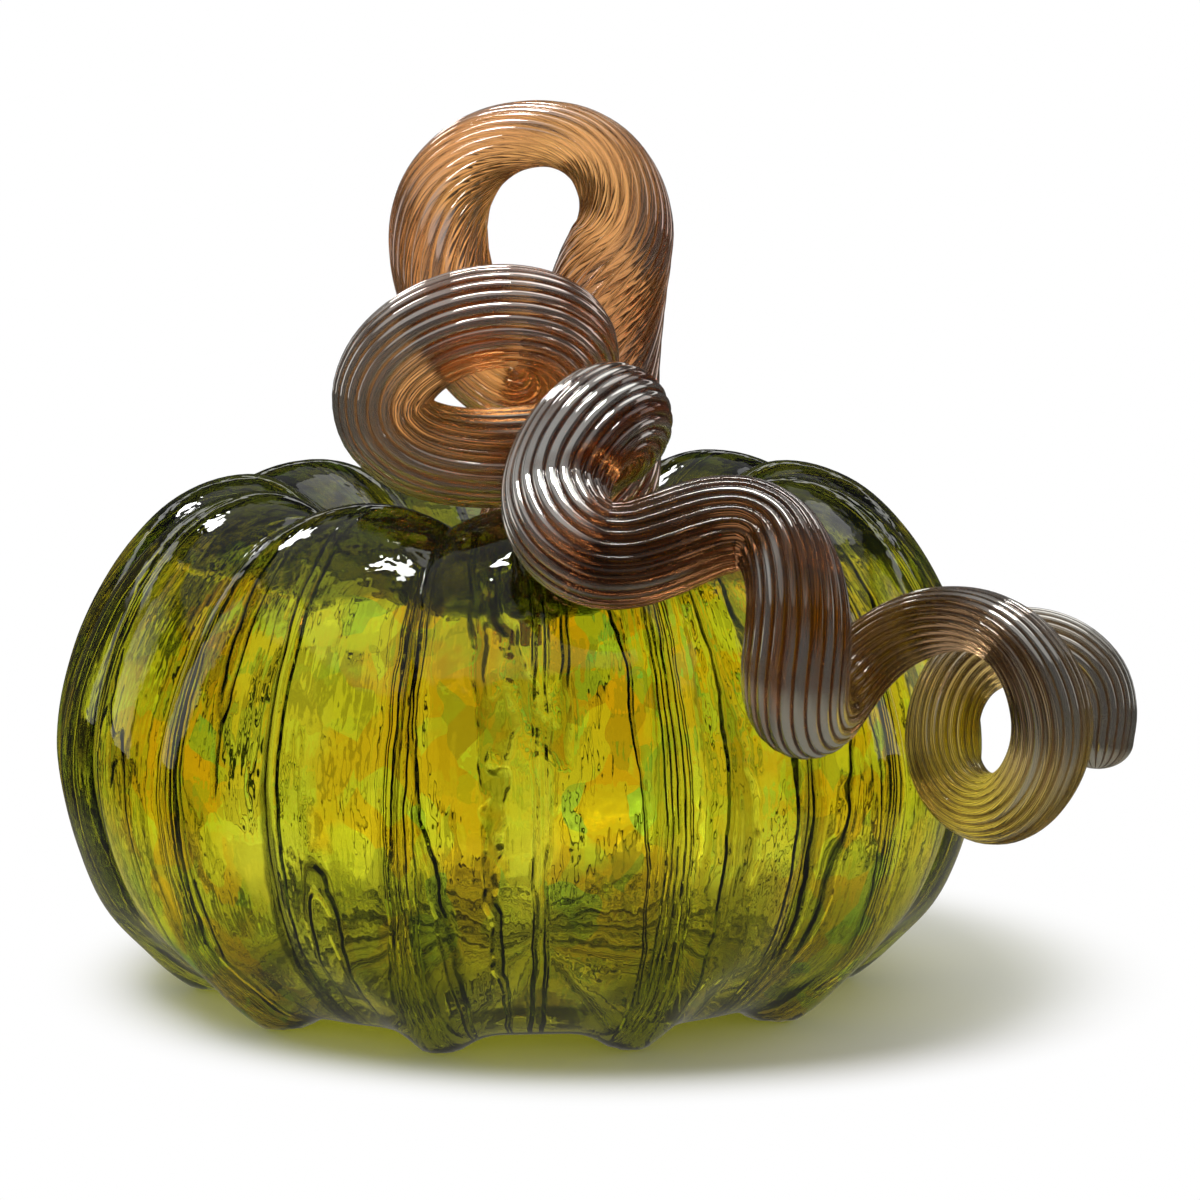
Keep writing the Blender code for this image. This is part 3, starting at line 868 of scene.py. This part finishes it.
# %% [markdown]
# The chosen points are joined by a smooth curve, which is softened a little and then moved off the
# lobes where it would sink into them. The ribs need two directions square to the rod at each ring.
# These are carried along from ring to ring without turning, so the ribs don't jump at a bend, and
# the twist is added after that: fast in the tall loop, where the rod was turned most, then slow.

# %% Lay out the rod
ROOT_SHARE = 0.12
FAST_TWIST_END = 0.120


def softened(points, passes):
    for _ in range(passes):
        points = np.vstack([points[:1], (points[:-2] + 2 * points[1:-1] + points[2:]) / 4, points[-1:]])
    return points


def clear_of_body(route):
    """Past its root the rod is moved off the lobes, by its own radius and a small clearance."""
    lobe = smooth_through(LOBE_LINE, 12)
    out = facing(lobe)
    route = route.copy()
    for point in route[int(len(route) * ROOT_SHARE):]:
        around = np.hypot(point[0], point[1])
        lean = lean_at(np.arctan2(point[0], -point[1]), around, point[2])
        place = np.array([around, point[2] - lean])
        nearest = np.argmin(np.linalg.norm(lobe[:, :2] - place, axis=1))
        reach = np.dot(place - lobe[nearest, :2], out[nearest])
        short = point[3] * (1 + FLUTE_DEPTH) + REST_GAP - reach
        if short > 0:
            place += out[nearest] * short
            point[:2] *= place[0] / around
            point[2] = place[1] + lean
    return route


def stem_line(rings):
    """The centre and the radius of every ring, from the crown to the tip."""
    points = np.array(STEM_ROUTE) * MM
    points[:, 2] += CROWN_HEIGHT + GAP
    route = evenly(smooth_through(points, 24), 260)
    route = clear_of_body(softened(route, 6))
    route = evenly(softened(route, 1), 110)
    return evenly(smooth_through(route, 8), rings)


def carried_frames(centres, straight):
    """Two directions square to the rod at each centre, carried along it without turning."""
    tangents = np.gradient(centres, axis=0)
    tangents /= np.linalg.norm(tangents, axis=1, keepdims=True)
    tangents[:straight] *= np.linspace(0, 1, straight)[:, None]
    tangents[:straight, 2] += np.linspace(1, 0, straight)
    tangents /= np.linalg.norm(tangents, axis=1, keepdims=True)
    side = np.array([1.0, 0.0, 0.0])
    sides = []
    for tangent in tangents:
        side = side - tangent * np.dot(side, tangent)
        side /= np.linalg.norm(side)
        sides.append(side)
    sides = np.array(sides)
    return sides, np.cross(tangents, sides)


def twist_at(walked):
    """How far the ribs have turned after the given length of rod."""
    fast = np.minimum(walked, FAST_TWIST_END) / 0.110
    slow = np.maximum(walked - FAST_TWIST_END, 0) / 0.900
    return 2 * np.pi * (fast + slow)


print("twist at the end of the tall loop:", round(float(np.degrees(twist_at(FAST_TWIST_END)))), "degrees")

# %% [markdown]
# The rod is drawn ring by ring: a plug that stands in the neck, the ribbed rod, and a rounded tip.
# It came out of a small optic mould, so its 24 ribs are broad and the flutes between them narrow.
# Hot glass smooths its ribs where it sets slowly, so they start from nothing at the crown and are
# shallower in the tall loop.

# %% Draw the rings of the rod
RINGS = 470
COLUMNS = FLUTES * 8
ROOT_RINGS, TIP_RINGS = 3, 11
STRAIGHT_RINGS, FADE_RINGS = 26, 17
TIP_SHARE = 0.8
STREAK_PACE = 22
SPIN = 2 * np.pi * np.arange(COLUMNS) / COLUMNS


def rib_shape():
    """How far each column stands out: 1 on a rib's crest, -0.8 at the bottom of a narrow flute."""
    t = FLUTES * np.pi * np.arange(COLUMNS) / COLUMNS
    return 1 - 1.8 * (1 - np.abs(np.cos(t))) ** 1.6


def plan_rod():
    """The rod's rings: centres, radii, directions, twist, the depth of its flutes and its bends."""
    route = stem_line(RINGS)
    centres, radius = route[:, :3], route[:, 3]
    sides, others = carried_frames(centres, STRAIGHT_RINGS)
    walked = np.concatenate([[0], np.cumsum(np.linalg.norm(np.diff(centres, axis=0), axis=1))])
    tangents = np.gradient(centres, axis=0)
    tangents /= np.linalg.norm(tangents, axis=1, keepdims=True)
    bend = softened(np.gradient(tangents, axis=0) / np.gradient(walked)[:, None] * radius[:, None], 8)
    depth = np.minimum(1, np.arange(RINGS) / FADE_RINGS) * np.interp(walked, [0.125, 0.160], [0.55, 1.0])
    return SimpleNamespace(centres=centres, radius=radius, sides=sides, others=others, bend=bend,
                           walked=walked, twist=twist_at(walked), depth=FLUTE_DEPTH * depth)


def ring(centre, side, other, size, depth, turn):
    """The points of one ring, with ribs as deep as the given share of its radius."""
    reach = size * (1 + depth * (rib_shape() - 0.7))
    angle = turn + SPIN
    return centre + reach[:, None] * (np.cos(angle)[:, None] * side + np.sin(angle)[:, None] * other)


def rod_rings(rod):
    """All rings from the plug to the tip, and the middle points of the two ends."""
    across, away = np.array([1.0, 0, 0]), np.array([0, 1.0, 0])
    foot = np.array([0, 0, CROWN_HEIGHT - PLUG_DEPTH])
    top = np.array([0, 0, CROWN_HEIGHT + GAP])
    rings = [ring(foot, across, away, PLUG_RADIUS * 0.85, 0, 0),
             ring(foot + (0, 0, 0.0012), across, away, PLUG_RADIUS, 0, 0),
             ring(top, across, away, PLUG_RADIUS, 0, 0)]
    for i in range(RINGS):
        rings.append(ring(rod.centres[i], rod.sides[i], rod.others[i], rod.radius[i], rod.depth[i],
                          rod.twist[i]))
    end, side, other, size = rod.centres[-1], rod.sides[-1], rod.others[-1], rod.radius[-1]
    onward = np.cross(side, other)
    for k in range(1, TIP_RINGS + 1):
        lift = np.pi / 2 * k / (TIP_RINGS + 1)
        centre = end + onward * size * TIP_SHARE * np.sin(lift)
        rings.append(ring(centre, side, other, size * np.cos(lift), FLUTE_DEPTH, rod.twist[-1]))
    return rings, foot, end + onward * size * TIP_SHARE


rod = plan_rod()
ROD_LENGTH = rod.walked[-1] / MM
print("rod length", round(ROD_LENGTH), "mm")

# %% [markdown]
# The rings are joined by quads, and a fan of triangles closes each end. Each point also keeps what
# the lustre needs to know: how high it stands on its rib, how far along the rod it lies, and
# whether it faces the inside of a bend, where the shader paints a glow and thins the lustre. A
# shader can read such marks by name, while the bare mesh says only where a point is.

# %% Close the rod and mark its points
def rod_faces(rings):
    """Quads between the rings, and a fan of triangles over each end."""
    i = np.arange(COLUMNS)
    j = (i + 1) % COLUMNS
    faces = [np.stack([r * COLUMNS + i, r * COLUMNS + j, (r + 1) * COLUMNS + j, (r + 1) * COLUMNS + i],
                      axis=1) for r in range(rings - 1)]
    faces = np.concatenate(faces).tolist()
    foot, tip, last = rings * COLUMNS, rings * COLUMNS + 1, (rings - 1) * COLUMNS
    faces += [[foot, b, a] for a, b in zip(i, j)]
    faces += [[last + a, last + b, tip] for a, b in zip(i, j)]
    return faces


def mark_rod(stem, rings):
    """Writes on each point its height on a rib, its place along, its side of a bend and its lay."""
    length = rod.walked[-1]
    steps = np.concatenate([np.zeros(ROOT_RINGS), rod.walked, np.full(TIP_RINGS, length)])
    angles = rod.twist[:, None] + SPIN[None]
    inner = (np.cos(angles) * (rod.bend * rod.sides).sum(axis=1)[:, None]
             + np.sin(angles) * (rod.bend * rod.others).sum(axis=1)[:, None])
    inner = np.concatenate([np.zeros(ROOT_RINGS * COLUMNS), inner.ravel(), np.tile(inner[-1], TIP_RINGS)])
    lay = np.stack([np.tile(np.cos(SPIN), rings), np.tile(np.sin(SPIN), rings),
                    np.repeat(steps, COLUMNS) * STREAK_PACE], axis=1)
    lay = np.concatenate([lay, [[0, 0, 0], [0, 0, length * STREAK_PACE]]])
    write_on_points(stem, "rib", np.append(np.tile(rib_shape(), rings), [0, 0]))
    write_on_points(stem, "along", np.append(np.repeat(steps / length, COLUMNS), [0, 1]))
    write_on_points(stem, "inner", np.append(inner, [0, 0]))
    write_on_points(stem, "lay", lay, "FLOAT_VECTOR")


def draw_stem():
    rings, foot, tip = rod_rings(rod)
    stem = make_piece("coiled_stem", np.concatenate(rings + [[foot, tip]]), rod_faces(len(rings)))
    mark_rod(stem, len(rings))
    return stem


stem = draw_stem()

# %% [markdown]
# The rod is amber glass with a silvery lustre, which a metal salt leaves on it in the flame. Its
# colour, its lustre and the darkness of its flutes change along it, and the tables below say so,
# with places in millimetres from the crown: up to 125 is the trunk and the tall loop, to 250 the
# second coil, to 330 the fold and the drop, and then the curl. The colour is partly the glass's
# own tone and partly painted light: near 272 and near 392 it is painted dark as painted shade, and
# near 412 the curl is painted olive yellow for the body seen through it.

# %% Colours along the rod
# The dark stops near 272 and 392 are painted shade, and the olive yellow near 412 is painted for the body
# seen through the curl.
STEM_DEEP = [
    (0, (0.84, 0.47, 0.26)), (60, (1.00, 0.56, 0.25)), (125, (0.98, 0.50, 0.19)),
    (160, (0.58, 0.34, 0.16)), (190, (0.74, 0.47, 0.23)), (225, (0.54, 0.31, 0.14)),
    (255, (0.42, 0.22, 0.11)), (272, (0.26, 0.12, 0.06)), (330, (0.36, 0.19, 0.10)),
    (376, (0.29, 0.22, 0.15)), (392, (0.23, 0.19, 0.14)), (402, (0.44, 0.37, 0.12)),
    (412, (0.72, 0.60, 0.07)), (436, (0.48, 0.38, 0.13)), (467, (0.28, 0.24, 0.17)),
]
STEM_BRIGHT = [
    (0, (1.00, 0.60, 0.34)), (60, (1.00, 0.60, 0.22)), (125, (1.00, 0.57, 0.18)),
    (165, (0.96, 0.50, 0.17)), (230, (1.00, 0.54, 0.18)), (258, (1.00, 0.50, 0.16)),
    (272, (0.46, 0.23, 0.11)), (330, (0.58, 0.32, 0.15)), (376, (0.44, 0.33, 0.20)),
    (392, (0.33, 0.28, 0.20)), (402, (0.62, 0.52, 0.16)), (412, (1.00, 0.88, 0.10)),
    (436, (0.70, 0.56, 0.19)), (467, (0.42, 0.37, 0.27)),
]
STEM_SILVER = [
    (0, 0.60), (40, 0.57), (75, 0.43), (120, 0.41), (150, 0.54), (165, 0.58), (200, 0.60),
    (232, 0.66), (244, 0.52), (258, 0.46), (267, 0.64), (272, 0.64), (281, 0.34), (300, 0.34),
    (320, 0.36), (334, 0.66), (345, 0.40), (370, 0.34), (390, 0.52), (405, 0.36), (420, 0.22),
    (440, 0.50), (467, 0.74),
]
STEM_THIN = [(0, 0.0), (270, 0.0), (282, 0.5), (315, 0.4), (330, 0.0), (467, 0.0)]
STEM_MILK = [(0, 0.05), (50, 0.06), (120, 0.06), (165, 0.04), (272, 0.0), (467, 0.0)]
# Levels of painted shade in the flutes, along the rod.
STEM_FLUTE_SHADE = [
    (0, 0.50), (60, 0.18), (118, 0.18), (160, 0.60), (200, 0.52), (235, 0.85), (272, 0.85),
    (390, 0.85), (412, 0.80), (467, 0.90),
]


def along_ramp(tree, along, stops):
    """A level or a colour that changes along the rod, from places in millimetres of its length."""
    ramp = wire(tree, "ShaderNodeValToRGB", {0: along})
    line = ramp.color_ramp
    for _ in range(len(stops) - 2):
        line.elements.new(0.5)
    for element, (place, colour) in zip(line.elements, stops):
        element.position = place / ROD_LENGTH
        element.color = (*colour, 1) if isinstance(colour, tuple) else (colour, colour, colour, 1)
    return ramp.outputs[0]


print("colours along the rod:", len(STEM_DEEP), "deep and", len(STEM_BRIGHT), "bright")

# %% [markdown]
# Two shaders are mixed for the stem: tinted glass, and a glossy metal for the lustre. The lustre
# lies on the crests of the ribs, broken into streaks that run along them, and is thinner on the
# inside of a bend. The flutes between the ribs are painted darker, as painted shade, because their
# steep sides turn light away. A clear coat over the glass would be simpler, but it mirrors less,
# and without a tint.

# %% Mix the stem's glass
# The colour of the painted shade in the flutes comes first.
FLUTE_SHADE = (0.10, 0.045, 0.022)
ROSE_SILVER, GREY_SILVER = (0.94, 0.75, 0.66), (0.86, 0.85, 0.80)
STEM_SHADOW = (0.54, 0.48, 0.40)
STEM_DEPTH, STEM_DENSITY = (0.80, 0.62, 0.40), 55.0


def stem_marks(tree):
    """What was written on the rod's points, and the streaks that run along it."""
    marks = {name: wire(tree, "ShaderNodeAttribute", attribute_name=name).outputs["Fac"]
             for name in ("rib", "along", "inner")}
    lay = wire(tree, "ShaderNodeAttribute", attribute_name="lay").outputs["Vector"]
    return SimpleNamespace(**marks, streak=noise(tree, lay, 2.0, 1.5).outputs[0])


def stem_colour(tree, mark, hollow):
    """Deep amber with a painted glow inside the bends, brighter in hazy patches, and painted shade in the
    flutes.
    """
    here = wire(tree, "ShaderNodeTexCoord").outputs["Object"]
    haze = ease(tree, noise(tree, here, 60.0, 4.0).outputs[0], 0.42, 0.70, 0.0, 0.6)
    # painted glow: inside the bends the amber turns to the brighter colour
    glow_and_haze = reckon(tree, "MINIMUM", reckon(tree, "MULTIPLY_ADD", hollow, 0.6, haze), 1.0)
    colour = blend(tree, glow_and_haze, along_ramp(tree, mark.along, STEM_DEEP),
                   along_ramp(tree, mark.along, STEM_BRIGHT))
    # painted shade: the flutes between the ribs are darkened
    gap = reckon(tree, "MULTIPLY_ADD", reckon(tree, "SUBTRACT", mark.streak, 0.5), 2.0, mark.rib)
    gap = product(tree, ease(tree, gap, 0.45, -0.35), along_ramp(tree, mark.along, STEM_FLUTE_SHADE))
    return blend(tree, gap, colour, FLUTE_SHADE)


def lustre_share(tree, mark, hollow):
    """How much of the lustre covers the glass."""
    silver = reckon(tree, "MULTIPLY_ADD", hollow, -0.32, along_ramp(tree, mark.along, STEM_SILVER))
    broken = ease(tree, reckon(tree, "ADD", mark.streak, silver), 0.78, 1.12)
    crest = reckon(tree, "SUBTRACT", mark.rib, along_ramp(tree, mark.along, STEM_THIN))
    return product(tree, ease(tree, crest, -0.2, 0.45), broken, 0.80)


def stem_glass():
    material, tree = new_material("stem_glass")
    mark = stem_marks(tree)
    hollow = ease(tree, mark.inner, -0.10, 0.30)
    clear = reckon(tree, "SUBTRACT", 1.0, along_ramp(tree, mark.along, STEM_MILK))
    bump = wire(tree, "ShaderNodeBump", {"Strength": 1.0, "Distance": 0.00003, "Height": mark.streak})
    glass = wire(tree, "ShaderNodeBsdfPrincipled",
                 {"Base Color": stem_colour(tree, mark, hollow), "Roughness": 0.02, "IOR": 1.5,
                  "Transmission Weight": clear, "Normal": bump.outputs[0]})
    sheen = blend(tree, ease(tree, mark.along, 0.26, 0.46), ROSE_SILVER, GREY_SILVER)
    lustre = wire(tree, "ShaderNodeBsdfPrincipled",
                  {"Base Color": sheen, "Roughness": 0.07, "Metallic": 0.93, "Normal": bump.outputs[0]})
    coated = wire(tree, "ShaderNodeMixShader",
                  {0: lustre_share(tree, mark, hollow), 1: glass.outputs[0], 2: lustre.outputs[0]})
    finish_glass(tree, coated, STEM_SHADOW, STEM_DEPTH, STEM_DENSITY)
    print("stem glass:", len(tree.nodes), "nodes")
    return material


stem.data.materials.append(stem_glass())
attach(stem, "root")
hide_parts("stem")

# %% [markdown]
# Light bends at every skin of the glass, so a ray needs many bounces to get through the front wall,
# the back wall and the stem behind them. With too few, the rims turn black. Colours are shown as
# they are, with no film look.

# %% Settings of the picture
scene.view_settings.view_transform = "Standard"
scene.cycles.max_bounces = 24
scene.cycles.transmission_bounces = 20
scene.cycles.glossy_bounces = 12
scene.cycles.transparent_max_bounces = 16
scene.cycles.use_denoising = True
print("bounces:", scene.cycles.max_bounces)
